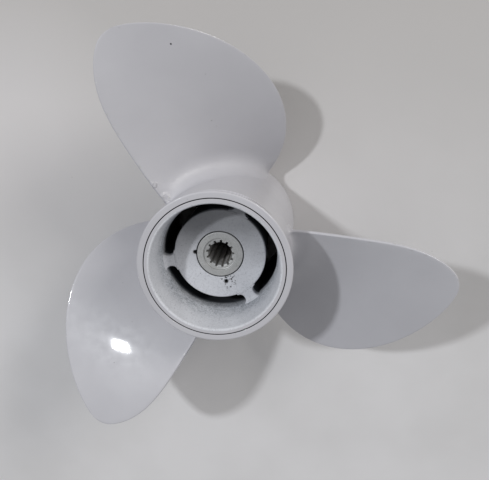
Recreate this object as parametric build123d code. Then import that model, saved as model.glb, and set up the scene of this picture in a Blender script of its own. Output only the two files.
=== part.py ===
from build123d import *
import os
from math import atan2, cos, hypot, pi, radians, sin

# Three-blade outboard propeller with a through-hub exhaust and a rubber-mounted splined sleeve.
# The shaft axis is +Z and points aft.  The forward face of the hub stands on z = 0.
# All sizes are in millimetres.

# ---- hub casting -------------------------------------------------------------------------------
HUB_LENGTH = 107.0          # forward face to aft rim
BARREL_FRONT_R = 44.4       # outer radius where the hub meets the gearcase (88.8 mm, 3.5 in class)
BARREL_AFT_R = 44.0         # outer radius in front of the diffuser ring
SPIGOT_R = 41.7             # radius under the diffuser ring
SPIGOT_LENGTH = 12.0
TAPER_FRONT_Z = 14.0        # the outside narrows slightly between these two heights
TAPER_AFT_Z = 62.0
SOCKET_R = 40.0             # bore that goes over the gearcase lip
SOCKET_DEPTH = 8.0
PASSAGE_FRONT_R = 39.4      # outer wall of the exhaust passages, forward
PASSAGE_AFT_R = 35.5        # outer wall of the exhaust passages at the inner face
RIM_INNER_R = 37.9          # wall of the aft cavity just inside the rim
CAVITY_DEPTH = 26.4         # rim to the aft face of the inner hub

# ---- inner hub ---------------------------------------------------------------------------------
INNER_AFT_R = 28.5
INNER_FRONT_R = 27.2        # the core pulls forward, so the passages open that way
INNER_FRONT_Z = 9.0
DAMPER_R = 23.4             # bore for the rubber damper
END_WALL = 7.0              # aft end wall of the inner hub
END_HOLE_R = 14.9

# ---- ribs --------------------------------------------------------------------------------------
RIB_ANGLES = (65.5, -56.0, -171.0)
RIB_WIDTH_AFT = 7.2
RIB_WIDTH_FRONT = 6.0
RIB_FILLET = 3.05

# ---- diffuser ring -----------------------------------------------------------------------------
RING_NECK_R = 43.2          # waist of the ring, a small step in from the tube
RING_NECK_LENGTH = 2.5      # straight stretch of the waist, before the flare starts
FLARE_R = 45.8
FLARE_LIP = 1.5

# ---- drive sleeve and damper -------------------------------------------------------------------
SLEEVE_AFT_R = 14.3
SLEEVE_BODY_R = 12.5
SLEEVE_FRONT_Z = 9.0
SLEEVE_FLANGE_R = 18.5
SLEEVE_FLANGE_LENGTH = 4.0
SLEEVE_STEP_R = 10.4        # shallow seat in the aft face
SLEEVE_STEP_DEPTH = 1.2
SPLINE_GROOVES = 13
SPLINE_MINOR_R = 7.3
SPLINE_MAJOR_R = 8.75
SPLINE_GROOVE_WIDTH = 1.4
SPLINE_LENGTH = 42.0
SPLINE_FIRST_ANGLE = 85.0   # direction of the first groove
GROOVE_CORNER_R = 0.35
PILOT_R = 9.1               # plain bore in front of the spline
THRUST_SEAT_R = 12.6        # mouth of the conical thrust seat
THRUST_SEAT_DEPTH = 7.0
DAMPER_CLEARANCE = 0.05     # running clearance round the sleeve
DAMPER_FRONT_Z = 15.0
DAMPER_LENGTH = 56.0
DISH_INNER_R = 17.0         # flat of the shallow dish in both ends of the damper
DISH_OUTER_R = 20.0
DISH_DEPTH = 1.6

# ---- blades ------------------------------------------------------------------------------------
BLADE_COUNT = 3
TIP_R = 144.5               # 289 mm (11 3/8 in) diameter
ROOT_R = 43.5
PITCH_ROOT = 278.0          # about 11 in
PITCH_TIP = 291.0
HALF_WIDTH = (41.0, 42.6, 43.3, 40.9, 28.7)     # degrees, root to tip, before rounding the outline
MID_ANGLE = (96.4, 94.3, 96.7, 103.0, 112.6)    # degrees, middle of the first blade, root to tip
RAKE = (0.0, 14.7, 29.6, 45.0)                  # aft lean of the mid line, root to tip
ROOT_MID_Z = HUB_LENGTH - 64.6
ROOT_THICKNESS = 9.5
TIP_THICKNESS = 3.0
THICKNESS_FALL = 1.15       # how quickly the thickness falls off towards the tip
EDGE_RADIUS = 1.15
NARROW_CHORD = 12.0         # half chords shorter than this are thinned towards the tip
TIP_TRIM = 0.965            # the skin closes just short of the outline's point
FACE_FILLET = 16.0          # blade root, aft side
BACK_FILLET = 9.0           # blade root, forward side
EDGE_FILLET = 4.0           # blade root, leading and trailing ends
EDGE_SPREAD = 0.55          # share of that fillet that lengthens the chord
EDGE_SWELL = 0.8            # share of it that thickens the edge


def through(stations, t):
    """Smooth curve through evenly spaced root-to-tip stations, t from 0 to 1."""
    count = len(stations)
    value = 0.0
    for i in range(count):
        weight = 1.0
        for j in range(count):
            if j != i:
                weight *= (t * (count - 1) - j) / (i - j)
        value += stations[i] * weight
    return value


def revolve_profile(points):
    """Solid of revolution from (radius, z) corners."""
    face = Plane.XZ * make_face(Polyline(*points, close=True))
    return revolve(face, Axis.Z)


def root_flare(r, radius):
    """How far a cast root fillet of this radius has spread at distance r from the axis."""
    depth = min(max(ROOT_R + radius - r, 0.0), 0.97 * radius)
    return radius - (radius ** 2 - depth ** 2) ** 0.5


def blade_section(r, flat_at=None):
    """Closed section wire of the first blade, wrapped on a cylinder of radius r.

    flat_at gives (distance, angle) of a plane that faces the axis; the wire is laid flat on it.
    """
    t = (r - ROOT_R) / (TIP_R - ROOT_R)
    tc = max(t, 0.0)
    half = radians(through(HALF_WIDTH, tc)) * (1.0 - tc) ** 0.5
    mid = radians(through(MID_ANGLE, tc))
    lead = (PITCH_ROOT + (PITCH_TIP - PITCH_ROOT) * tc) / (2 * pi)
    z_mid = ROOT_MID_Z + through(RAKE, tc)
    slope = atan2(lead, r)
    edge = root_flare(r, EDGE_FILLET)
    chord = half * hypot(r, lead) + EDGE_SPREAD * edge
    nose = min(EDGE_RADIUS, 0.45 * chord)
    thick = TIP_THICKNESS + (ROOT_THICKNESS - TIP_THICKNESS) * (1.0 - tc) ** THICKNESS_FALL
    bulge = max(thick - 2 * nose, 0.0) * min(1.0, chord / NARROW_CHORD)
    nose += EDGE_SWELL * edge
    flat = chord - nose
    top = EDGE_SWELL * edge
    low = top - 2 * nose
    face_rise = root_flare(r, FACE_FILLET) - top
    back_rise = root_flare(r, BACK_FILLET) - top

    def place(a, b):
        along = a * cos(slope) - b * sin(slope)
        z = z_mid + a * sin(slope) + b * cos(slope)
        angle = mid + along / r
        if flat_at is None:
            return Vector(r * cos(angle), r * sin(angle), z)
        distance, facing = flat_at
        side = r * sin(angle - facing)
        x = distance * cos(facing) - side * sin(facing)
        y = distance * sin(facing) + side * cos(facing)
        return Vector(x, y, z)

    steps = 8
    xs = [sin(pi / 2 * (2 * k / steps - 1)) for k in range(steps + 1)]
    pressure = [place(flat * x, top + face_rise * (1 - x ** 4)) for x in xs]
    suction = [place(-flat * x, low - bulge * (1 - x * x) - back_rise * (1 - x ** 4)) for x in xs]
    arc = [(k - 2) * pi / 4 for k in range(5)]
    trailing = [place(flat + nose * cos(v), top - nose + nose * sin(v)) for v in reversed(arc)]
    leading = [place(-flat - nose * cos(v), top - nose + nose * sin(v)) for v in arc]
    return Wire([Edge.make_spline(p) for p in (pressure, trailing, suction, leading)])


def blade_blank():
    """First blade as a closed skin, running into the hub where it is cut off later."""
    buried = blade_section(ROOT_R - 2.0, (20.0, radians(MID_ANGLE[0])))
    fillet_steps = (-2.0, -0.6, 0.4, 1.3, 2.6, 4.6, 7.4, 11.0, 16.5)
    wires = [blade_section(ROOT_R + d) for d in fillet_steps]
    first = fillet_steps[-1] / (TIP_R - ROOT_R)
    outer_steps = 11
    for k in range(1, outer_steps + 1):
        u = TIP_TRIM * k / outer_steps
        t = first + (1.0 - first) * (1.0 - (1.0 - u) ** 2)
        r = ROOT_R + t * (TIP_R - ROOT_R)
        tip_plane = (r, radians(through(MID_ANGLE, t))) if k == outer_steps else None
        wires.append(blade_section(r, tip_plane))
    skin = Solid.make_loft(wires).faces()
    foot = Solid.make_loft([buried, wires[0]], ruled=True).faces()
    faces = list(skin.filter_by(GeomType.PLANE, reverse=True))
    faces += list(foot.filter_by(GeomType.PLANE, reverse=True))
    faces += [Face(buried), Face(wires[-1])]
    return Solid(Shell(faces))


def wall_radius(z, z0, r0, z1, r1):
    return r0 + (r1 - r0) * (z - z0) / (z1 - z0)


inner_face_z = HUB_LENGTH - CAVITY_DEPTH
spigot_z = HUB_LENGTH - SPIGOT_LENGTH

# Outer barrel: tube with the gearcase socket forward and the tapered cavity aft.
barrel = revolve_profile([
    (SOCKET_R, 0.0),
    (BARREL_FRONT_R - 0.8, 0.0),
    (BARREL_FRONT_R, 0.8),
    (BARREL_FRONT_R, TAPER_FRONT_Z),
    (BARREL_AFT_R, TAPER_AFT_Z),
    (BARREL_AFT_R, spigot_z),
    (SPIGOT_R, spigot_z),
    (SPIGOT_R, HUB_LENGTH - 0.7),
    (SPIGOT_R - 0.5, HUB_LENGTH),
    (RIM_INNER_R + 1.4, HUB_LENGTH),
    (RIM_INNER_R + 0.4, HUB_LENGTH - 0.5),
    (RIM_INNER_R, HUB_LENGTH - 1.6),
    (PASSAGE_AFT_R, inner_face_z),
    (PASSAGE_FRONT_R, SOCKET_DEPTH),
    (SOCKET_R, SOCKET_DEPTH),
])
barrel_outside = revolve_profile([
    (0.0, -5.0),
    (BARREL_FRONT_R, -5.0),
    (BARREL_FRONT_R, TAPER_FRONT_Z),
    (BARREL_AFT_R, TAPER_AFT_Z),
    (BARREL_AFT_R, HUB_LENGTH + 5.0),
    (0.0, HUB_LENGTH + 5.0),
])
passage_outside = revolve_profile([
    (0.0, SOCKET_DEPTH),
    (PASSAGE_FRONT_R, SOCKET_DEPTH),
    (PASSAGE_AFT_R, inner_face_z),
    (0.0, inner_face_z),
])

# Inner hub: tapered tube, bored from the front for the damper, closed aft by an end wall.
inner_hub = revolve_profile([
    (DAMPER_R + 1.0, INNER_FRONT_Z),
    (INNER_FRONT_R - 0.8, INNER_FRONT_Z),
    (INNER_FRONT_R, INNER_FRONT_Z + 0.8),
    (INNER_AFT_R, inner_face_z - 0.7),
    (INNER_AFT_R - 0.7, inner_face_z),
    (END_HOLE_R + 0.5, inner_face_z),
    (END_HOLE_R, inner_face_z - 0.5),
    (END_HOLE_R, inner_face_z - END_WALL),
    (DAMPER_R - 2.0, inner_face_z - END_WALL),
    (DAMPER_R, inner_face_z - END_WALL - 2.0),
    (DAMPER_R, INNER_FRONT_Z + 1.0),
])
inner_outside = revolve_profile([
    (0.0, INNER_FRONT_Z - 5.0),
    (wall_radius(INNER_FRONT_Z - 5.0, INNER_FRONT_Z + 0.8, INNER_FRONT_R, inner_face_z - 0.7, INNER_AFT_R),
     INNER_FRONT_Z - 5.0),
    (INNER_AFT_R, inner_face_z - 0.7),
    (INNER_AFT_R - 0.7, inner_face_z),
    (INNER_AFT_R - 0.7, inner_face_z + 5.0),
    (0.0, inner_face_z + 5.0),
])


def rib_outline(z, width, inner_r, outer_r):
    """Rib section along +X at height z, with filleted feet on both walls."""
    half = width / 2
    foot = half + RIB_FILLET
    a = inner_r - 2.0
    b = outer_r + 2.0
    side = []
    for s in (-1, 1):
        side.append([
            Vector(a, s * foot, z),
            Vector(inner_r, s * foot, z),
            Vector(inner_r + RIB_FILLET * (1 - cos(pi / 4)), s * (half + RIB_FILLET * (1 - sin(pi / 4))), z),
            Vector(inner_r + RIB_FILLET, s * half, z),
            Vector(outer_r - RIB_FILLET, s * half, z),
            Vector(outer_r - RIB_FILLET * (1 - cos(pi / 4)), s * (half + RIB_FILLET * (1 - sin(pi / 4))), z),
            Vector(outer_r, s * foot, z),
            Vector(b, s * foot, z),
        ])
    edges = []
    for p in side:
        edges.append(Edge.make_line(p[0], p[1]))
        edges.append(Edge.make_three_point_arc(p[1], p[2], p[3]))
        edges.append(Edge.make_line(p[3], p[4]))
        edges.append(Edge.make_three_point_arc(p[4], p[5], p[6]))
        edges.append(Edge.make_line(p[6], p[7]))
    edges.append(Edge.make_line(side[0][0], side[1][0]))
    edges.append(Edge.make_line(side[0][7], side[1][7]))
    return Wire(edges)


# Rib: web between the tubes, slightly thinner forward, flush with the inner hub's aft face.
rib_front_z = SOCKET_DEPTH + 2.0
rib_blank = Solid.make_loft([
    rib_outline(rib_front_z, RIB_WIDTH_FRONT, INNER_FRONT_R, PASSAGE_FRONT_R),
    rib_outline(inner_face_z, RIB_WIDTH_AFT, INNER_AFT_R, PASSAGE_AFT_R),
], ruled=True)
rib = (rib_blank & passage_outside) - inner_outside

# Diffuser ring: sleeve round the spigot, straight at its waist, then flared to a rounded aft lip.
lip_centre_z = HUB_LENGTH - FLARE_LIP
flare_start = (RING_NECK_R, spigot_z + RING_NECK_LENGTH)
ring_lines = [
    Line((SPIGOT_R, spigot_z), (RING_NECK_R, spigot_z)),
    Line((RING_NECK_R, spigot_z), flare_start),
    TangentArc(flare_start, (FLARE_R, lip_centre_z), tangent=(0, 1)),
    ThreePointArc(
        (FLARE_R, lip_centre_z),
        (FLARE_R - FLARE_LIP * (1 - cos(pi / 4)), lip_centre_z + FLARE_LIP * sin(pi / 4)),
        (FLARE_R - FLARE_LIP, HUB_LENGTH),
    ),
    Line((FLARE_R - FLARE_LIP, HUB_LENGTH), (SPIGOT_R + 0.5, HUB_LENGTH)),
    Line((SPIGOT_R + 0.5, HUB_LENGTH), (SPIGOT_R, HUB_LENGTH - 0.7)),
    Line((SPIGOT_R, HUB_LENGTH - 0.7), (SPIGOT_R, spigot_z)),
]
diffuser_ring = revolve(Plane.XZ * make_face(Curve() + ring_lines), Axis.Z)

# Rubber damper: thick tube pressed into the inner hub, dished at both ends.
damper_aft_z = DAMPER_FRONT_Z + DAMPER_LENGTH
damper_bore_r = SLEEVE_BODY_R + DAMPER_CLEARANCE
damper = revolve_profile([
    (damper_bore_r, DAMPER_FRONT_Z + 1.0),
    (damper_bore_r + 1.5, DAMPER_FRONT_Z),
    (DISH_INNER_R, DAMPER_FRONT_Z + DISH_DEPTH),
    (DISH_OUTER_R, DAMPER_FRONT_Z + DISH_DEPTH),
    (DAMPER_R - 1.2, DAMPER_FRONT_Z),
    (DAMPER_R, DAMPER_FRONT_Z + 1.2),
    (DAMPER_R, damper_aft_z - 2.4),
    (DAMPER_R - 2.2, damper_aft_z),
    (DISH_OUTER_R, damper_aft_z - DISH_DEPTH),
    (DISH_INNER_R, damper_aft_z - DISH_DEPTH),
    (damper_bore_r + 1.5, damper_aft_z),
    (damper_bore_r, damper_aft_z - 1.0),
])

# Splined sleeve: aft collar in the end wall's hole, forward flange with a conical thrust seat.
collar_z = inner_face_z - END_WALL + 1.0
flange_z = SLEEVE_FRONT_Z + SLEEVE_FLANGE_LENGTH
spline_front_z = inner_face_z - SPLINE_LENGTH
sleeve = revolve_profile([
    (THRUST_SEAT_R, SLEEVE_FRONT_Z),
    (SLEEVE_FLANGE_R - 0.6, SLEEVE_FRONT_Z),
    (SLEEVE_FLANGE_R, SLEEVE_FRONT_Z + 0.6),
    (SLEEVE_FLANGE_R, flange_z - 0.5),
    (SLEEVE_FLANGE_R - 0.5, flange_z),
    (SLEEVE_BODY_R, flange_z),
    (SLEEVE_BODY_R, collar_z - 1.8),
    (SLEEVE_AFT_R, collar_z),
    (SLEEVE_AFT_R, inner_face_z - 0.6),
    (SLEEVE_AFT_R - 0.6, inner_face_z),
    (SLEEVE_STEP_R, inner_face_z),
    (SLEEVE_STEP_R, inner_face_z - SLEEVE_STEP_DEPTH),
    (SPLINE_MINOR_R + 0.5, inner_face_z - SLEEVE_STEP_DEPTH),
    (SPLINE_MINOR_R, inner_face_z - SLEEVE_STEP_DEPTH - 0.5),
    (SPLINE_MINOR_R, spline_front_z + 1.2),
    (PILOT_R, spline_front_z - 0.6),
    (PILOT_R, SLEEVE_FRONT_Z + THRUST_SEAT_DEPTH),
])
groove_reach = SPLINE_MAJOR_R - SPLINE_MINOR_R + 1.0
groove_middle = SPLINE_MAJOR_R - groove_reach / 2
groove = Pos(groove_middle, 0, (spline_front_z + inner_face_z) / 2) * Box(
    groove_reach, SPLINE_GROOVE_WIDTH, SPLINE_LENGTH + 4.0)
groove = fillet(groove.edges().filter_by(Axis.Z).group_by(Axis.X)[-1], GROOVE_CORNER_R)
for k in range(SPLINE_GROOVES):
    sleeve -= Rot(0, 0, SPLINE_FIRST_ANGLE + 360.0 / SPLINE_GROOVES * k) * groove

# Blades: the skin is cut back to the barrel's outside, then turned into its three places.
blade = blade_blank() - barrel_outside

parts = {
    "outer_barrel": barrel,
    "inner_hub": inner_hub,
    "diffuser_ring": diffuser_ring,
    "damper_bush": damper,
    "splined_sleeve": sleeve,
}
for k in range(len(RIB_ANGLES)):
    parts["rib_" + str(k + 1)] = Rot(0, 0, RIB_ANGLES[k]) * rib
for k in range(BLADE_COUNT):
    parts["blade_" + str(k + 1)] = Rot(0, 0, -360.0 / BLADE_COUNT * k) * blade

os.makedirs("parts", exist_ok=True)
for name, shape in parts.items():
    solids = shape.solids()
    solid = max(solids, key=lambda s: s.volume)
    print(name, len(solids), round(solid.volume / 1000, 2), "cm3")
    solid.label = name
    export_step(solid, "parts/" + name + ".step")
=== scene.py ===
from math import atan2, cos, hypot, pi, radians, sin, sqrt

import bpy
from mathutils import Matrix, Vector


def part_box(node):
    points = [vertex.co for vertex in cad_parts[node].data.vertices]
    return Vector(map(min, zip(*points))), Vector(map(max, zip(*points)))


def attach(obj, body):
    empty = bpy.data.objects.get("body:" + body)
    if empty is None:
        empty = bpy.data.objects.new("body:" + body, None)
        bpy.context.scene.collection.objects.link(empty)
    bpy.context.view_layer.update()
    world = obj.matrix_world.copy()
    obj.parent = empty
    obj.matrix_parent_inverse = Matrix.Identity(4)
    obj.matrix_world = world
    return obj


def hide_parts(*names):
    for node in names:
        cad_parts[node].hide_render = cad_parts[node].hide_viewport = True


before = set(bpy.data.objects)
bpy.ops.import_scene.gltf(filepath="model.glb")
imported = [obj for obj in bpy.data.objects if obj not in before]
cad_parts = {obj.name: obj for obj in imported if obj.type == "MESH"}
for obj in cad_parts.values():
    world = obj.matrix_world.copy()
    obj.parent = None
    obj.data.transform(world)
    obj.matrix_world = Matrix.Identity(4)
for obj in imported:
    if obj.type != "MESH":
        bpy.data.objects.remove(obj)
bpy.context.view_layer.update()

# Lengths in this script are millimetres until a mesh is made; MM turns them into metres.
MM = 0.001

# ---- sizes, as in the solid model ------------------------------------------------------------
HUB_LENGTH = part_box("outer_barrel")[1][2] / MM
BARREL_FRONT_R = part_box("outer_barrel")[1][0] / MM
BARREL_AFT_R = 44.0
TAPER_FRONT_Z = 14.0        # the outside narrows slightly between these two heights
TAPER_AFT_Z = 62.0
SPIGOT_R = 41.7
SPIGOT_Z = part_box("diffuser_ring")[0][2] / MM
FLARE_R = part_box("diffuser_ring")[1][0] / MM
FLARE_LIP = 1.5
RING_NECK_R = 43.2
RING_NECK_LENGTH = 2.5
JOINT_GAP = 0.22            # half width of the open joint line in the aft rim
JOINT_DEPTH = 5.0
SOCKET_R = 40.0
SOCKET_DEPTH = 8.0
PASSAGE_FRONT_R = 39.4
PASSAGE_AFT_R = 35.5
RIM_INNER_R = 37.9
FACE_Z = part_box("inner_hub")[1][2] / MM
INNER_FRONT_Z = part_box("inner_hub")[0][2] / MM
INNER_AFT_R = 28.5
INNER_FRONT_R = 27.2
DAMPER_R = 23.4
END_WALL = 7.0
END_HOLE_R = 14.9
RIB_ANGLES = (65.5, -56.0, -171.0)
RIB_WIDTH_AFT = 7.2
RIB_WIDTH_FRONT = 6.0
RIB_FILLET = 3.05
RIB_FRONT_Z = SOCKET_DEPTH + 2.0
RIB_BURIED = 0.9            # how far a rib's ends run into the two walls
RIB_EDGE_R = 0.9            # round of the rib's aft edges
RIB_CLIMB = 2.6             # how far its aft face climbs the cavity wall
SLEEVE_AFT_R = 14.3
SLEEVE_BODY_R = 12.5
SLEEVE_FLANGE_R = 18.5
SLEEVE_FLANGE_LENGTH = 4.0
SLEEVE_STEP_R = 10.4
SLEEVE_STEP_DEPTH = 1.2
SPLINE_GROOVES = 13
SPLINE_MINOR_R = 7.3
SPLINE_MAJOR_R = 8.75
SPLINE_MEAN_R = 8.0
SPLINE_GROOVE_WIDTH = 1.4
SPLINE_FIRST_ANGLE = 85.0
SPLINE_LENGTH = 42.0
PILOT_R = 9.1
THRUST_SEAT_R = 12.6
THRUST_SEAT_DEPTH = 7.0
DAMPER_CLEARANCE = 0.05
DISH_INNER_R = 17.0         # flat of the shallow dish in both ends of the damper
DISH_OUTER_R = 20.0
DISH_DEPTH = 1.6

BLADE_COUNT = 3
TIP_R = 144.5
ROOT_R = 43.5
PITCH_ROOT = 278.0
PITCH_TIP = 291.0
HALF_WIDTH = (41.0, 42.6, 43.3, 40.9, 28.7)
MID_ANGLE = (96.4, 94.3, 96.7, 103.0, 112.6)
RAKE = (0.0, 14.7, 29.6, 45.0)
ROOT_MID_Z = HUB_LENGTH - 64.6
ROOT_THICKNESS = 9.5
TIP_THICKNESS = 3.0
THICKNESS_FALL = 1.15       # how quickly the thickness falls off towards the tip
EDGE_RADIUS = 1.15
NARROW_CHORD = 12.0         # half chords shorter than this are thinned towards the tip
TIP_TRIM = 0.985            # the skin closes just short of the outline's point
EDGE_ROLL = 2.5             # width of the hand-ground strip along the blade edges
EDGE_DROP = 0.10            # how far that strip falls away at the edge
TIP_CUP = 0.7               # aft curl at the very tip
TIP_CUP_WIDTH = 18.0        # stretch over which the curl builds up
FACE_FILLET = 16.0          # blade root, aft side
BACK_FILLET = 9.0           # blade root, forward side
EDGE_FILLET = 4.0           # blade root, leading and trailing ends
EDGE_SPREAD = 0.55          # share of that fillet that lengthens the chord
EDGE_SWELL = 0.8            # share of it that thickens the edge
ROOT_SINK = 0.03            # how far the blade's foot sits below the tube's skin
EDGE_SQUARENESS = 0.65      # below 1 makes the blade's edges squarer than round


# ---- mesh helpers ----------------------------------------------------------------------------
def make_mesh(name, rows, masks, closed_rows=False, caps=()):
    """Quads through a grid of points. Each row is a closed ring; masks hold one dict per point."""
    count = len(rows[0])
    points = [tuple(c * MM for c in p) for row in rows for p in row]
    faces = []
    last = len(rows) if closed_rows else len(rows) - 1
    for j in range(last):
        a = j * count
        b = ((j + 1) % len(rows)) * count
        for i in range(count):
            k = (i + 1) % count
            faces.append((a + i, a + k, b + k, b + i))
    for cap in caps:
        base = cap * count if cap >= 0 else (len(rows) + cap) * count
        ring = [base + i for i in range(count)]
        faces.append(ring if cap else ring[::-1])
    mesh = bpy.data.meshes.new(name)
    mesh.from_pydata(points, [], faces)
    for key in ("grime_and_shade", "wear", "cast"):
        layer = mesh.attributes.new(key, "FLOAT", "POINT")
        layer.data.foreach_set("value", [m.get(key, 0.0) for row in masks for m in row])
    mesh.validate()
    mesh.update()
    mesh.shade_smooth()
    obj = bpy.data.objects.new(name, mesh)
    bpy.context.scene.collection.objects.link(obj)
    weighted = obj.modifiers.new("even_shading", "WEIGHTED_NORMAL")
    weighted.weight = 60
    return obj


def arc_corner(before, corner, after, radius, steps=6):
    """Points of the round that replaces a polygon corner."""
    a = Vector(before) - Vector(corner)
    b = Vector(after) - Vector(corner)
    half = a.angle(b) / 2
    reach = min(radius / max(sin(half) / cos(half), 1e-6), 0.49 * a.length, 0.49 * b.length)
    real = reach * sin(half) / cos(half)
    middle = Vector(corner) + (a.normalized() + b.normalized()).normalized() * (real / sin(half))
    start = Vector(corner) + a.normalized() * reach - middle
    end = Vector(corner) + b.normalized() * reach - middle
    sweep = start.angle_signed(end)
    points = []
    for k in range(steps + 1):
        turn = -sweep * k / steps
        points.append((
            middle.x + start.x * cos(turn) - start.y * sin(turn),
            middle.y + start.x * sin(turn) + start.y * cos(turn),
        ))
    return points


def rounded(corners):
    """Closed outline through (r, z, round) corners."""
    points = []
    for k, (r, z, size) in enumerate(corners):
        before = corners[k - 1][:2]
        after = corners[(k + 1) % len(corners)][:2]
        points += arc_corner(before, (r, z), after, size) if size > 0 else [(r, z)]
    return points


def refined(outline, longest):
    """The same closed outline with no span longer than a limit, for even shading."""
    points = []
    for k, (r, z) in enumerate(outline):
        r2, z2 = outline[(k + 1) % len(outline)]
        parts = max(1, int(hypot(r2 - r, z2 - z) / longest + 0.999))
        points += [(r + (r2 - r) * s / parts, z + (z2 - z) * s / parts) for s in range(parts)]
    return points


def revolve(name, corners, mask, segments=240, longest=4.0):
    """Solid of revolution about the shaft axis; mask(r, z) gives the masks."""
    rows = []
    masks = []
    for r, z in refined(rounded(corners), longest):
        ring = [(r * cos(2 * pi * i / segments), r * sin(2 * pi * i / segments), z) for i in range(segments)]
        rows.append(ring)
        masks.append([mask(r, z)] * segments)
    return make_mesh(name, rows, masks, closed_rows=True)


def ramp(value, low, high):
    """0 below low, 1 above high, smooth between; low may be the larger."""
    t = min(max((value - low) / (high - low), 0.0), 1.0)
    return t * t * (3 - 2 * t)


def through(stations, t):
    """Smooth curve through evenly spaced stations, t from 0 to 1."""
    count = len(stations)
    value = 0.0
    for i in range(count):
        weight = 1.0
        for j in range(count):
            if j != i:
                weight *= (t * (count - 1) - j) / (i - j)
        value += stations[i] * weight
    return value


# ---- casting ---------------------------------------------------------------------------------
def barrel_outer_r(z):
    """Outside radius of the hub tube at height z."""
    t = min(max((z - TAPER_FRONT_Z) / (TAPER_AFT_Z - TAPER_FRONT_Z), 0.0), 1.0)
    return BARREL_FRONT_R + (BARREL_AFT_R - BARREL_FRONT_R) * t


def passage_wall_r(z):
    return PASSAGE_FRONT_R + (PASSAGE_AFT_R - PASSAGE_FRONT_R) * (z - SOCKET_DEPTH) / (FACE_Z - SOCKET_DEPTH)


def inner_wall_r(z):
    return INNER_FRONT_R + (INNER_AFT_R - INNER_FRONT_R) * (z - INNER_FRONT_Z) / (FACE_Z - INNER_FRONT_Z)


def cavity_masks(r, z):
    """Darker towards the bottom of the cavity, partly dust and partly painted shade, and sooty black down the
    passages.
    """
    if r > RIM_INNER_R + 1.5:
        if abs(r - SPIGOT_R) < 0.5 and z > SPIGOT_Z and z < HUB_LENGTH - 0.15:
            return {"grime_and_shade": 1.0}
        return {"wear": ramp(z, 3.0, 0.0), "cast": 0.6}
    deep = ramp(z, HUB_LENGTH - 8.0, FACE_Z + 3.0)
    soot = ramp(z, FACE_Z - 3.0, FACE_Z - 13.0)
    return {"grime_and_shade": 0.36 * deep + 0.64 * soot}


def build_barrel():
    """Hub tube; its inside faces take the second material."""
    gap = JOINT_GAP
    corners = [
        (SOCKET_R, 0.0, 0.0),
        (BARREL_FRONT_R, 0.0, 0.9),
        (BARREL_FRONT_R, TAPER_FRONT_Z, 30.0),
        (BARREL_AFT_R, TAPER_AFT_Z, 30.0),
        (BARREL_AFT_R, SPIGOT_Z, 0.35),
        (SPIGOT_R, SPIGOT_Z, 0.0),
        (SPIGOT_R, HUB_LENGTH - JOINT_DEPTH, 0.0),
        (SPIGOT_R - gap, HUB_LENGTH - JOINT_DEPTH, 0.0),
        (SPIGOT_R - gap, HUB_LENGTH, 0.35),
        (RIM_INNER_R + 0.5, HUB_LENGTH, 1.3),
        (PASSAGE_AFT_R, FACE_Z, 1.1),
        (PASSAGE_FRONT_R, SOCKET_DEPTH, 0.0),
        (SOCKET_R, SOCKET_DEPTH, 0.0),
    ]
    barrel = revolve("hub_barrel", corners, cavity_masks)
    for face in barrel.data.polygons:
        middle = face.center
        radius = hypot(middle.x, middle.y) / MM
        outward = face.normal.x * middle.x + face.normal.y * middle.y
        inside = radius < RIM_INNER_R + 0.4 or outward < -1e-4
        face.material_index = 1 if inside else 0
    return barrel


def build_ring():
    """Straight waist, then an arc of a flare that ends in a rounded lip."""
    gap = JOINT_GAP
    lip = HUB_LENGTH - FLARE_LIP
    start = SPIGOT_Z + RING_NECK_LENGTH
    sweep = ((lip - start) ** 2 + (FLARE_R - RING_NECK_R) ** 2) / (2 * (FLARE_R - RING_NECK_R))
    concave = [(RING_NECK_R, SPIGOT_Z, 0.0)]
    flare_steps = 9
    for k in range(flare_steps):
        z = start + (lip - start) * k / flare_steps
        concave.append((RING_NECK_R + sweep - sqrt(sweep ** 2 - (z - start) ** 2), z, 0.0))
    corners = [(SPIGOT_R, SPIGOT_Z, 0.0)] + concave + [
        (FLARE_R, lip - 0.6, 0.4),
        (FLARE_R, HUB_LENGTH, 1.3),
        (SPIGOT_R + gap, HUB_LENGTH, 0.35),
        (SPIGOT_R + gap, HUB_LENGTH - JOINT_DEPTH, 0.0),
        (SPIGOT_R, HUB_LENGTH - JOINT_DEPTH, 0.0),
    ]

    def masks(r, z):
        if r < SPIGOT_R + 0.5 and z < HUB_LENGTH - 0.15:
            return {"grime_and_shade": 1.0}
        lip_edge = ramp(r, FLARE_R - 0.9, FLARE_R - 0.2) * ramp(z, HUB_LENGTH - 2.2, HUB_LENGTH - 0.8)
        return {"wear": 0.6 * lip_edge}

    return revolve("diffuser_flare", corners, masks)


# Casting flaws in the inner hub's aft face: x and y, the dent's radius and depth, and the near-black ball in
# it: how deep its middle lies, and its radius.
PITS = (
    (3.6, -17.7, 1.1, 3.2, 1.7, 2.4),
    (-15.2, 1.2, 1.2, 2.8, 1.5, 2.2),
)


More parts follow.
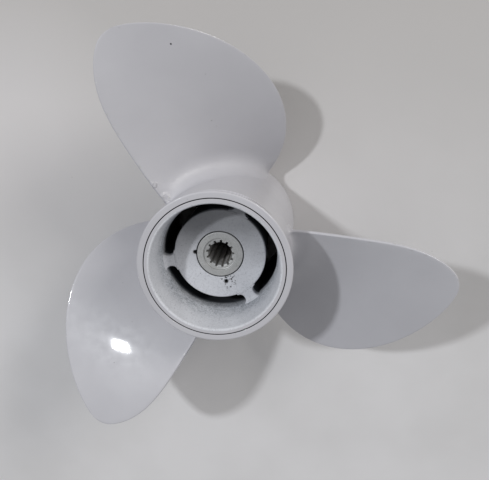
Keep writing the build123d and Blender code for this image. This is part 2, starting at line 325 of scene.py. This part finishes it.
def build_inner_hub():
    """Inner tube and its end wall, dented where the casting is flawed."""
    corners = [
        (DAMPER_R + 1.0, INNER_FRONT_Z, 0.0),
        (INNER_FRONT_R, INNER_FRONT_Z, 0.9),
        (INNER_AFT_R, FACE_Z, 0.8),
        (END_HOLE_R, FACE_Z, 0.4),
        (END_HOLE_R, FACE_Z - END_WALL, 0.0),
        (DAMPER_R - 2.0, FACE_Z - END_WALL, 0.0),
        (DAMPER_R, FACE_Z - END_WALL - 2.0, 0.0),
        (DAMPER_R, INNER_FRONT_Z + 1.0, 0.0),
    ]

    def masks(r, z):
        if r < END_HOLE_R + 0.2:
            return {"grime_and_shade": ramp(z, FACE_Z - 0.2, FACE_Z - 0.8)}
        return {"grime_and_shade": ramp(z, FACE_Z - 1.0, FACE_Z - 6.0)}

    hub = revolve("inner_hub_tube", corners, masks, segments=300, longest=0.8)
    for vertex in hub.data.vertices:
        for x, y, radius, depth, _, _ in PITS:
            away = (vertex.co / MM - Vector((x, y, FACE_Z))).length / radius
            if away < 1.0:
                vertex.co.z -= depth * (1 - away ** 2) * MM
    return hub


def rib_flare(distance):
    """Fillet of the rib's foot, from the distance to the wall it stands on."""
    depth = min(max(RIB_FILLET - distance, 0.0), RIB_FILLET)
    return RIB_FILLET - sqrt(RIB_FILLET ** 2 - depth ** 2)


def build_rib(number, angle):
    """Web with a rounded aft edge that climbs into the cavity wall."""
    front = RIB_FRONT_Z
    edge = RIB_EDGE_R
    climb = RIB_CLIMB
    stations = 36
    round_steps = 4
    rows = []
    masks = []
    levels = [front, front + 1.0, 30.0, 50.0, 65.0, 74.0, 78.0]
    for k in range(stations + 1):
        s = k / stations
        row = []
        mask = []

        def place(side, z, inset=0.0):
            inner = inner_wall_r(min(z, FACE_Z)) - RIB_BURIED
            outer = passage_wall_r(min(z, FACE_Z)) + RIB_BURIED
            r = inner + (outer - inner) * s
            t = (z - front) / (FACE_Z - front)
            half = (RIB_WIDTH_FRONT + (RIB_WIDTH_AFT - RIB_WIDTH_FRONT) * t) / 2
            half += rib_flare(r - inner - RIB_BURIED) + rib_flare(outer - RIB_BURIED - r)
            y = side * (half - inset)
            c = cos(radians(angle))
            n = sin(radians(angle))
            row.append((r * c - y * n, r * n + y * c, z))
            seam = 0.30 * ramp(abs(r - INNER_AFT_R), 0.5, 0.1)
            mask.append({"grime_and_shade": max(seam, ramp(z, FACE_Z - 0.6, FACE_Z - 6.0))})

        wall = passage_wall_r(FACE_Z)
        reach = wall - inner_wall_r(FACE_Z) + 2 * RIB_BURIED
        r_here = inner_wall_r(FACE_Z) - RIB_BURIED + reach * s
        depth = min(max(climb - (wall - r_here), 0.0), climb * 0.96)
        top = FACE_Z + climb - sqrt(climb ** 2 - depth ** 2)
        for z in levels:
            place(-1, z)
        for a in range(round_steps + 1):
            v = pi / 2 * a / round_steps
            place(-1, top - edge + edge * sin(v), edge * (1 - cos(v)))
        for inset in (1.8, 2.8):
            place(-1, top, inset)
        for inset in (2.8, 1.8):
            place(1, top, inset)
        for a in range(round_steps, -1, -1):
            v = pi / 2 * a / round_steps
            place(1, top - edge + edge * sin(v), edge * (1 - cos(v)))
        for z in reversed(levels):
            place(1, z)
        rows.append(row)
        masks.append(mask)
    return make_mesh("web_%d" % number, rows, masks, caps=(0, -1))


def root_flare(r, radius):
    """How far a root fillet of this radius has spread at distance r from the axis."""
    depth = min(max(ROOT_R + radius - r, 0.0), radius)
    return radius - sqrt(max(radius ** 2 - depth ** 2, 0.0))


def blade_ring(r, turn):
    """One closed section of a blade, and its masks."""
    t = min(max((r - ROOT_R) / (TIP_R - ROOT_R), 0.0), 1.0)
    half = radians(through(HALF_WIDTH, t)) * sqrt(1.0 - t)
    mid = radians(through(MID_ANGLE, t)) + turn
    lead = (PITCH_ROOT + (PITCH_TIP - PITCH_ROOT) * t) / (2 * pi)
    near_tip = max(0.0, 1 - (TIP_R - r) / TIP_CUP_WIDTH) ** 2
    z_mid = ROOT_MID_Z + through(RAKE, t) + TIP_CUP * near_tip
    slope = atan2(lead, r)
    edge = root_flare(r, EDGE_FILLET)
    chord = half * hypot(r, lead) + EDGE_SPREAD * edge
    nose = min(EDGE_RADIUS, 0.45 * chord)
    thick = TIP_THICKNESS + (ROOT_THICKNESS - TIP_THICKNESS) * (1.0 - t) ** THICKNESS_FALL
    bulge = max(thick - 2 * nose, 0.0) * min(1.0, chord / NARROW_CHORD)
    nose += edge * EDGE_SWELL
    flat = chord - nose
    top = EDGE_SWELL * edge
    low = top - 2 * nose
    face_rise = root_flare(r, FACE_FILLET) - top
    back_rise = root_flare(r, BACK_FILLET) - top
    settle = 1.0 - ramp(r, ROOT_R, ROOT_R + FACE_FILLET)
    ring = []
    masks = []

    def place(a, b, wear):
        along = a * cos(slope) - b * sin(slope)
        z = z_mid + a * sin(slope) + b * cos(slope)
        radius = r + (barrel_outer_r(z) - ROOT_SINK - ROOT_R) * settle
        angle = mid + along / r
        ring.append((radius * cos(angle), radius * sin(angle), z))
        cast = ramp(r, ROOT_R + 0.9 * FACE_FILLET, ROOT_R + 0.4 * FACE_FILLET)
        masks.append({"wear": wear * ramp(t, 0.06, 0.2), "cast": cast})

    roll = min(EDGE_ROLL, 0.5 * chord)
    drop = EDGE_DROP * ramp(t, 0.05, 0.25) * roll / EDGE_ROLL

    def face_fall(a):
        return drop * max(0.0, 1 - (flat - abs(a)) / roll) ** 2

    def nose_point(side, v):
        out = nose * abs(cos(v)) ** EDGE_SQUARENESS
        up = nose * abs(sin(v)) ** EDGE_SQUARENESS
        lift = drop * (v + pi / 2) / pi
        place(side * (flat + out), top - nose + (up if v > 0 else -up) - lift, 1.0)

    across = 36
    round_steps = 8
    for k in range(across + 1):
        x = sin(pi / 2 * (2 * k / across - 1))
        rise = face_rise * (1 - x ** 4)
        place(flat * x, top + rise - face_fall(flat * x), ramp(chord - abs(flat * x), 2.6, 1.0))
    for k in range(1, round_steps):
        nose_point(1, pi / 2 - pi * k / round_steps)
    for k in range(across + 1):
        x = -sin(pi / 2 * (2 * k / across - 1))
        rise = bulge * (1 - x * x) + back_rise * (1 - x ** 4)
        place(flat * x, low - rise, ramp(chord - abs(flat * x), 2.6, 1.0))
    for k in range(1, round_steps):
        nose_point(-1, -pi / 2 + pi * k / round_steps)
    return ring, masks


def build_blade(number):
    """Skin from the foot on the tube to the closed tip, finer in the root fillet."""
    turn = -2 * pi / BLADE_COUNT * (number - 1)
    fillet_steps = 16
    turns = [pi / 2 * k / fillet_steps for k in range(fillet_steps + 1)]
    radii = [ROOT_R + FACE_FILLET * (1 - cos(v)) for v in turns]
    start = radii[-1]
    outer_steps = 56
    for k in range(1, outer_steps + 1):
        u = TIP_TRIM * k / outer_steps
        radii.append(start + (TIP_R - start) * (1 - (1 - u) ** 2))
    rings = [blade_ring(r, turn) for r in radii]
    return make_mesh("blade_skin_%d" % number, [g[0] for g in rings], [g[1] for g in rings], caps=(-1,))


# ---- damper and sleeve -----------------------------------------------------------------------
def build_damper():
    """Thick rubber tube, dished at both ends."""
    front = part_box("damper_bush")[0][2] / MM
    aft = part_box("damper_bush")[1][2] / MM
    bore = SLEEVE_BODY_R + DAMPER_CLEARANCE
    corners = [
        (bore, front + 1.0, 0.0),
        (bore + 1.5, front, 0.5),
        (DISH_INNER_R, front + DISH_DEPTH, 1.5),
        (DISH_OUTER_R, front + DISH_DEPTH, 1.5),
        (DAMPER_R - 1.2, front, 0.4),
        (DAMPER_R, front + 1.2, 0.4),
        (DAMPER_R, aft - 2.4, 0.4),
        (DAMPER_R - 2.2, aft, 0.4),
        (DISH_OUTER_R, aft - DISH_DEPTH, 0.6),
        (DISH_INNER_R, aft - DISH_DEPTH, 1.0),
        (bore + 1.5, aft, 0.5),
        (bore, aft - 1.0, 0.0),
    ]
    return revolve("rubber_damper", corners, lambda r, z: {}, segments=160)


def build_sleeve():
    """Outside as turned; inside, the radius dips into the grooves along the splined length."""
    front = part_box("splined_sleeve")[0][2] / MM
    collar = FACE_Z - END_WALL + 1.0
    flange = front + SLEEVE_FLANGE_LENGTH
    step = FACE_Z - SLEEVE_STEP_DEPTH
    spline_front = FACE_Z - SPLINE_LENGTH
    outside = rounded([
        (SLEEVE_STEP_R, step + 0.4, 0.0),
        (SLEEVE_STEP_R, FACE_Z, 0.25),
        (SLEEVE_AFT_R, FACE_Z, 0.5),
        (SLEEVE_AFT_R, collar, 0.0),
        (SLEEVE_BODY_R, collar - 1.8, 0.0),
        (SLEEVE_BODY_R, flange, 0.0),
        (SLEEVE_FLANGE_R, flange, 0.4),
        (SLEEVE_FLANGE_R, front, 0.5),
        (THRUST_SEAT_R, front, 0.3),
        (PILOT_R, front + THRUST_SEAT_DEPTH, 0.0),
        (PILOT_R, spline_front - 0.6, 0.0),
    ])
    outline = [(r, r, z) for r, z in outside]
    land = SPLINE_MINOR_R
    deep = SPLINE_MAJOR_R
    outline += [(deep, deep, spline_front - 0.2), (land, deep, spline_front + 1.2)]
    ring_pitch = 4.9
    outline += [(land, deep, spline_front + 1.2 + ring_pitch * k) for k in range(1, 8)]
    outline += [(land, deep, step - 0.5), (land + 0.5, deep + 0.15, step), (9.4, 9.4, step)]
    outline += [(SLEEVE_STEP_R, SLEEVE_STEP_R, step)]
    per_groove = 24
    count = SPLINE_GROOVES * per_groove
    pitch = 2 * pi / SPLINE_GROOVES
    rows = []
    masks = []
    for r_land, r_groove, z in outline:
        row = []
        for i in range(count):
            angle = radians(SPLINE_FIRST_ANGLE) + 2 * pi * i / count
            local = (angle - radians(SPLINE_FIRST_ANGLE) + pitch / 2) % pitch - pitch / 2
            inside = abs(local) * SPLINE_MEAN_R < SPLINE_GROOVE_WIDTH / 2
            r = r_groove if inside else r_land
            row.append((r * cos(angle), r * sin(angle), z))
        rows.append(row)
        grime_and_shade = ramp(z, step - 0.3, step - 2.0) if r_land < PILOT_R + 0.3 else 0.0
        if r_land > SLEEVE_AFT_R - 0.6:
            grime_and_shade = ramp(z, FACE_Z - 0.4, FACE_Z - 1.0)
        masks.append([{"grime_and_shade": grime_and_shade}] * count)
    return make_mesh("drive_sleeve", rows, masks, closed_rows=True)


# ---- materials -------------------------------------------------------------------------------
class Nodes:
    """Small helper for building a material's nodes."""

    def __init__(self, name):
        self.material = bpy.data.materials.new(name)
        self.material.use_nodes = True
        self.tree = self.material.node_tree
        self.shader = self.tree.nodes["Principled BSDF"]
        self.position = self.add("ShaderNodeTexCoord").outputs["Object"]

    def add(self, kind, **values):
        node = self.tree.nodes.new(kind)
        for key, value in values.items():
            setattr(node, key, value)
        return node

    def link(self, source, target):
        self.tree.links.new(source, target)

    def noise(self, scale, detail=3.0, rough=0.5, seed=None):
        node = self.add("ShaderNodeTexNoise")
        if seed is not None:
            node.noise_dimensions = "4D"
            node.inputs["W"].default_value = seed
        node.inputs["Scale"].default_value = scale
        node.inputs["Detail"].default_value = detail
        node.inputs["Roughness"].default_value = rough
        self.link(self.position, node.inputs["Vector"])
        return node.outputs["Fac"]

    def spots(self, scale):
        node = self.add("ShaderNodeTexVoronoi")
        node.inputs["Scale"].default_value = scale
        self.link(self.position, node.inputs["Vector"])
        return node.outputs["Distance"]

    def attribute(self, name):
        return self.add("ShaderNodeAttribute", attribute_name=name).outputs["Fac"]

    def between(self, value, low, high, to_low=0.0, to_high=1.0):
        node = self.add("ShaderNodeMapRange")
        node.inputs["From Min"].default_value = low
        node.inputs["From Max"].default_value = high
        node.inputs["To Min"].default_value = to_low
        node.inputs["To Max"].default_value = to_high
        self.link(value, node.inputs["Value"])
        return node.outputs["Result"]

    def math(self, operation, a, b=0.0):
        node = self.add("ShaderNodeMath", operation=operation)
        for socket, value in zip(node.inputs, (a, b)):
            if isinstance(value, (int, float)):
                socket.default_value = value
            else:
                self.link(value, socket)
        return node.outputs["Value"]

    def mix(self, factor, a, b):
        node = self.add("ShaderNodeMix", data_type="RGBA")
        for socket, value in ((node.inputs["Factor"], factor), (node.inputs["A"], a), (node.inputs["B"], b)):
            if isinstance(value, (int, float)):
                socket.default_value = value
            elif isinstance(value, tuple):
                socket.default_value = value + (1.0,)
            else:
                self.link(value, socket)
        return node.outputs["Result"]

    def distance(self, point):
        """Distance in metres from a point given in millimetres."""
        node = self.add("ShaderNodeVectorMath", operation="DISTANCE")
        self.link(self.position, node.inputs[0])
        node.inputs[1].default_value = [c * MM for c in point]
        return node.outputs["Value"]

    def near(self, point, reach):
        """1 inside a small ball round a point given in millimetres, 0 outside."""
        return self.between(self.distance(point), reach * MM, 0.6 * reach * MM)

    def bump(self, height, strength, distance, normal=None):
        node = self.add("ShaderNodeBump")
        node.inputs["Strength"].default_value = strength
        node.inputs["Distance"].default_value = distance * MM
        self.link(height, node.inputs["Height"])
        if normal is not None:
            self.link(normal, node.inputs["Normal"])
        return node.outputs["Normal"]

    def use(self, **sockets):
        for key, value in sockets.items():
            socket = self.shader.inputs[key.replace("_", " ")]
            if isinstance(value, (int, float)):
                socket.default_value = value
            elif isinstance(value, tuple):
                socket.default_value = value + (1.0,)
            else:
                self.link(value, socket)
        return self.material


FLOW_SEED = 4.0             # picks the slow ripple of the paint
PAINT = (0.575, 0.57, 0.60)
PAINT_SHADE = (0.515, 0.51, 0.54)
SPRAY = (0.70, 0.71, 0.745)
SPRAY_SHADE = (0.61, 0.62, 0.655)
SAND_DARK = (0.10, 0.115, 0.135)
SAND_PALE = (0.74, 0.77, 0.82)
SOOT = (0.050, 0.054, 0.062)
# Painted shadow tone for the +Y side of the inner hub's aft face.
RIM_SHADOW_TONE = (0.12, 0.12, 0.125)
PIT_BLACK = (0.012, 0.012, 0.013)
# Dusty tone that also paints the shade deeper in the hub's cavity.
DUST_AND_SHADE = (0.20, 0.225, 0.25)
BARE_METAL = (0.62, 0.62, 0.61)
BRONZE = (0.56, 0.565, 0.56)
BRONZE_SHADE = (0.46, 0.465, 0.46)
BRONZE_GREASE = (0.22, 0.20, 0.17)
BORE_DARK = (0.36, 0.35, 0.33)
BORE_PALE = (0.74, 0.72, 0.70)
RUBBER = (0.018, 0.018, 0.019)
RUBBER_PALE = (0.035, 0.034, 0.033)
# Painted light on the floor: a shaded far end, a lit near end and one lit patch.
FLOOR_FAR_SHADED = (0.50, 0.478, 0.46)
FLOOR_NEAR_LIT = (0.745, 0.735, 0.74)
FLOOR_SCUFF = (0.52, 0.51, 0.50)
FLOOR_LIT_PATCH = (0.74, 0.715, 0.715)
GRIT = (0.12, 0.10, 0.09)
TURNING_WAVES = 14000.0     # turning marks across the sleeve's end, radians per metre

# Rough, glinting spots at the first blade's trailing root: middle and radius.
ROUGH_SPOTS = (
    ((-33.8, 33.8, HUB_LENGTH - 32.0), 4.0),
    ((-39.5, 42.9, HUB_LENGTH - 29.0), 2.2),
)
PAINT_SPECK = ((-25.5, 124.3, HUB_LENGTH - 30.9), 0.6)
PIT_CRUMBS = ((5.0, -17.5, FACE_Z), 6.0)


def paint_material():
    """Gloss enamel sprayed over a casting, chipped at the edges, rougher where it wasn't ground."""
    m = Nodes("gloss_enamel")
    grime_and_shade = m.attribute("grime_and_shade")
    wear = m.attribute("wear")
    cast = m.attribute("cast")
    cloud = m.noise(14.0, 4.0)
    mottle = m.noise(160.0, 5.0, 0.65)
    grain = m.noise(1300.0, 2.0, 0.6)
    chip_noise = m.noise(420.0, 4.0, 0.7)
    colour = m.mix(m.between(cloud, 0.35, 0.68), PAINT, PAINT_SHADE)
    colour = m.mix(m.between(grain, 0.35, 0.75, 0.0, 0.22), colour, PAINT_SHADE)
    colour = m.mix(m.between(grime_and_shade, 0.50, 0.80), colour, SOOT)
    edge_chips = m.math("MULTIPLY", m.between(wear, 0.45, 0.95), m.between(chip_noise, 0.60, 0.66))
    root = m.near(*ROUGH_SPOTS[0])
    root = m.math("MAXIMUM", root, m.near(*ROUGH_SPOTS[1]))
    root_chips = m.math("MULTIPLY", root, m.between(m.noise(900.0, 3.0, 0.7), 0.60, 0.64))
    chips = m.math("MAXIMUM", edge_chips, root_chips)
    colour = m.mix(chips, colour, BARE_METAL)
    speckled = m.between(m.noise(60.0, 1.0), 0.64, 0.70)
    specks = m.math("MULTIPLY", m.between(m.spots(230.0), 0.06, 0.03), speckled)
    specks = m.math("MAXIMUM", specks, m.near(*PAINT_SPECK))
    colour = m.mix(specks, colour, SOOT)
    rough = m.between(mottle, 0.30, 0.70, 0.36, 0.48)
    rough = m.math("ADD", rough, m.math("MULTIPLY", grime_and_shade, 0.45))
    flow = m.bump(m.noise(30.0, 1.0, seed=FLOW_SEED), 0.45, 0.50)
    sand = m.math("MULTIPLY", m.noise(380.0, 4.0, 0.7), cast)
    flow = m.bump(sand, 0.7, 0.35, flow)
    flow = m.bump(m.math("MULTIPLY", m.noise(900.0, 2.0), root), 1.0, 0.9, flow)
    dry = m.math("MULTIPLY", cast, m.math("SUBTRACT", 1.0, root))
    coat = m.between(dry, 0.0, 1.0, 0.6, 0.04)
    normal = m.bump(m.noise(240.0, 2.0), 0.16, 0.10, flow)
    normal = m.bump(grain, 0.10, 0.05, normal)
    hole = m.math("ADD", m.math("MULTIPLY", specks, -1.0), m.math("MULTIPLY", chips, -0.15))
    normal = m.bump(hole, 0.9, 0.5, normal)
    metal = m.math("MULTIPLY", chips, 0.85)
    return m.use(Base_Color=colour, Roughness=rough, Metallic=metal, Normal=normal, Coat_Normal=flow,
                 Coat_Weight=coat, Coat_Roughness=0.06, IOR=1.5)


def cavity_material():
    """The same paint as a dry overspray on rough sand casting: dusty with painted shade towards the bottom,
    sooty down the passages, and a painted rim shadow on the aft face's +Y side.
    """
    m = Nodes("sand_cast_overspray")
    grime_and_shade = m.attribute("grime_and_shade")
    cloud = m.noise(45.0, 4.0)
    mottle = m.noise(190.0, 5.0, 0.65)
    grain = m.noise(950.0, 3.0, 0.75)
    colour = m.mix(m.between(cloud, 0.35, 0.65), SPRAY, SPRAY_SHADE)
    # Painted shade, partly dust: the walls darken towards the bottom of the cavity.
    dust_and_shade = m.math("MULTIPLY", m.between(grime_and_shade, 0.0, 0.42), m.between(mottle, 0.30, 0.62, 0.15, 0.7))
    colour = m.mix(dust_and_shade, colour, DUST_AND_SHADE)
    sandy = m.between(grime_and_shade, 0.05, 0.36, 0.22, 0.6)
    colour = m.mix(m.math("MULTIPLY", sandy, m.between(grain, 0.53, 0.64)), colour, SAND_DARK)
    colour = m.mix(m.math("MULTIPLY", sandy, m.between(grain, 0.46, 0.36)), colour, SAND_PALE)
    # Painted shadow: the aft face darkens towards +Y, where the rim's shadow falls.
    axes = m.add("ShaderNodeSeparateXYZ")
    m.link(m.position, axes.inputs[0])
    rim_shadow = m.math("ADD", axes.outputs[1], m.math("MULTIPLY", m.noise(70.0, 3.0), 0.012))
    rim_shadow = m.between(rim_shadow, -0.004, 0.025, 0.0, 0.70)
    on_face = m.between(axes.outputs[2], (FACE_Z + 2.0) * MM, (FACE_Z + 0.5) * MM)
    rim_shadow = m.math("MULTIPLY", rim_shadow, on_face)
    colour = m.mix(rim_shadow, colour, RIM_SHADOW_TONE)
    speckled = m.between(m.noise(110.0, 2.0), 0.60, 0.66)
    specks = m.math("MULTIPLY", m.between(m.spots(420.0), 0.16, 0.08), speckled)
    colour = m.mix(m.math("MULTIPLY", specks, 0.6), colour, SOOT)
    pit = m.math("MULTIPLY", m.near(*PIT_CRUMBS), m.between(m.noise(800.0, 2.0), 0.61, 0.65))
    for x, y, _, _, sunk, reach in PITS:
        pit = m.math("MAXIMUM", pit, m.near((x, y, FACE_Z - sunk), reach))
    colour = m.mix(pit, colour, PIT_BLACK)
    colour = m.mix(m.between(grime_and_shade, 0.50, 0.80), colour, SOOT)
    rough = m.between(mottle, 0.30, 0.70, 0.58, 0.74)
    normal = m.bump(m.noise(60.0, 2.0), 0.4, 0.35)
    normal = m.bump(grain, 0.7, 0.22, normal)
    normal = m.bump(m.math("MULTIPLY", pit, -1.0), 0.9, 0.6, normal)
    return m.use(Base_Color=colour, Roughness=rough, Normal=normal, IOR=1.5)


def sleeve_material():
    """Turned bronze under a thin coat of overspray, mottled by dried grease inside the bore."""
    m = Nodes("drive_sleeve_bronze")
    grime_and_shade = m.attribute("grime_and_shade")
    axes = m.add("ShaderNodeSeparateXYZ")
    m.link(m.position, axes.inputs[0])
    r2 = m.math("ADD", m.math("POWER", axes.outputs[0], 2.0), m.math("POWER", axes.outputs[1], 2.0))
    rings = m.math("SINE", m.math("MULTIPLY", m.math("SQRT", r2), TURNING_WAVES))
    mottle = m.noise(260.0, 5.0, 0.65)
    fine = m.noise(1500.0, 3.0, 0.6)
    colour = m.mix(m.between(mottle, 0.35, 0.65), BRONZE, BRONZE_SHADE)
    colour = m.mix(m.between(fine, 0.45, 0.75, 0.0, 0.4), colour, BRONZE_GREASE)
    inside = m.mix(m.between(fine, 0.35, 0.65), BORE_DARK, BORE_PALE)
    colour = m.mix(m.between(grime_and_shade, 0.2, 0.8), colour, inside)
    rough = m.between(mottle, 0.3, 0.7, 0.36, 0.55)
    normal = m.bump(rings, 0.12, 0.03)
    normal = m.bump(fine, 0.25, 0.06, normal)
    return m.use(Base_Color=colour, Roughness=rough, Normal=normal, Metallic=0.35, IOR=1.5)


def rubber_material():
    """Matt moulded rubber with a fine skin."""
    m = Nodes("damper_rubber")
    fine = m.noise(900.0, 4.0, 0.6)
    broad = m.noise(90.0, 3.0)
    colour = m.mix(m.between(broad, 0.35, 0.65), RUBBER, RUBBER_PALE)
    normal = m.bump(fine, 0.3, 0.08)
    return m.use(Base_Color=colour, Roughness=m.between(broad, 0.3, 0.7, 0.62, 0.8), Normal=normal, IOR=1.5)


def floor_material():
    """Pale floor with painted light: lighter towards -Y and in one soft painted pool of light, with faint
    scuffs and grit.
    """
    m = Nodes("studio_floor")
    axes = m.add("ShaderNodeSeparateXYZ")
    m.link(m.position, axes.inputs[0])
    colour = m.mix(m.between(axes.outputs[1], 0.20, -0.10), FLOOR_FAR_SHADED, FLOOR_NEAR_LIT)
    colour = m.mix(m.between(m.noise(7.0, 4.0), 0.38, 0.66, 0.0, 0.35), colour, FLOOR_SCUFF)
    # Painted pool of light on the floor.
    lit_patch = m.between(m.distance((-160.0, 60.0, 0.0)), 0.11, 0.03, 0.0, 0.6)
    colour = m.mix(lit_patch, colour, FLOOR_LIT_PATCH)
    grit = m.math("MULTIPLY", m.between(m.spots(75.0), 0.05, 0.035), m.between(m.noise(9.0, 2.0), 0.60, 0.64))
    colour = m.mix(m.math("MULTIPLY", grit, 0.55), colour, GRIT)
    normal = m.bump(m.noise(320.0, 3.0, 0.6), 0.10, 0.12)
    return m.use(Base_Color=colour, Roughness=0.62, Normal=normal)


# ---- assembly --------------------------------------------------------------------------------
def dress(obj, body, node, materials):
    """One visible piece: its body, the solid it stands for and its materials."""
    for material in materials:
        obj.data.materials.append(material)
    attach(obj, body)
    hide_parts(node)


def build_object():
    paint = paint_material()
    cavity = cavity_material()
    dress(build_barrel(), "casting", "outer_barrel", [paint, cavity])
    dress(build_ring(), "casting", "diffuser_ring", [paint])
    dress(build_inner_hub(), "casting", "inner_hub", [cavity])
    for k, angle in enumerate(RIB_ANGLES):
        dress(build_rib(k + 1, angle), "casting", "rib_%d" % (k + 1), [cavity])
    for k in range(BLADE_COUNT):
        dress(build_blade(k + 1), "casting", "blade_%d" % (k + 1), [paint])
    dress(build_damper(), "casting", "damper_bush", [rubber_material()])
    dress(build_sleeve(), "sleeve", "splined_sleeve", [sleeve_material()])


# ---- floor, light and camera -----------------------------------------------------------------
FLOOR_SIZE = 6.0            # metres, like everything in this section
FLOOR_DROP = 0.0002         # keeps the floor off the hub's forward face
LIGHT_DISTANCE = 3.4
LAMP_SIZE = 0.19
LAMP_WATTS = 42.0
WINDOW_SIZE = 1.20
WINDOW_WATTS = 46.0
SKY_STRENGTH = 0.34
CAMERA_PLACE = (0.0493, 0.1195, 0.4363)
CAMERA_TARGET = (0.0144, 0.0062, 0.0700)
CAMERA_UP = (0.0138, 1.0, 0.0)


def build_floor():
    mesh = bpy.data.meshes.new("floor")
    h = FLOOR_SIZE / 2
    mesh.from_pydata([(-h, -h, 0), (h, -h, 0), (h, h, 0), (-h, h, 0)], [], [(0, 1, 2, 3)])
    floor = bpy.data.objects.new("floor", mesh)
    floor.location.z = -FLOOR_DROP
    floor.data.materials.append(floor_material())
    bpy.context.scene.collection.objects.link(floor)


def add_light(name, direction, size, power, colour):
    """Soft square lamp that looks at the middle of the hub."""
    light = bpy.data.lights.new(name, "AREA")
    light.shape = "SQUARE"
    light.size = size
    light.energy = power
    light.color = colour
    lamp = bpy.data.objects.new(name, light)
    target = Vector((0, 0, 0.5 * HUB_LENGTH * MM))
    lamp.location = target + Vector(direction).normalized() * LIGHT_DISTANCE
    lamp.rotation_euler = (target - lamp.location).to_track_quat("-Z", "Y").to_euler()
    bpy.context.scene.collection.objects.link(lamp)


def build_lights():
    add_light("lamp", (-0.496, 0.391, 0.775), LAMP_SIZE, LAMP_WATTS, (0.94, 0.965, 1.0))
    add_light("window", (0.66, 0.58, 0.48), WINDOW_SIZE, WINDOW_WATTS, (1.0, 0.975, 0.94))
    world = bpy.data.worlds.new("studio")
    world.use_nodes = True
    sky = world.node_tree.nodes["Background"]
    sky.inputs["Color"].default_value = (0.97, 0.98, 1.0, 1.0)
    sky.inputs["Strength"].default_value = SKY_STRENGTH
    bpy.context.scene.world = world
    bpy.context.scene.view_settings.view_transform = "Standard"


def build_camera():
    data = bpy.data.cameras.new("camera")
    data.sensor_width = 36.0
    data.lens = 45.0
    data.clip_start = 0.01
    camera = bpy.data.objects.new("camera", data)
    place = Vector(CAMERA_PLACE)
    back = (place - Vector(CAMERA_TARGET)).normalized()
    right = Vector(CAMERA_UP).cross(back).normalized()
    up = back.cross(right)
    camera.matrix_world = Matrix.Translation(place) @ Matrix((right, up, back)).transposed().to_4x4()
    bpy.context.scene.collection.objects.link(camera)
    bpy.context.scene.camera = camera


build_object()
build_floor()
build_lights()
build_camera()
bpy.context.view_layer.update()
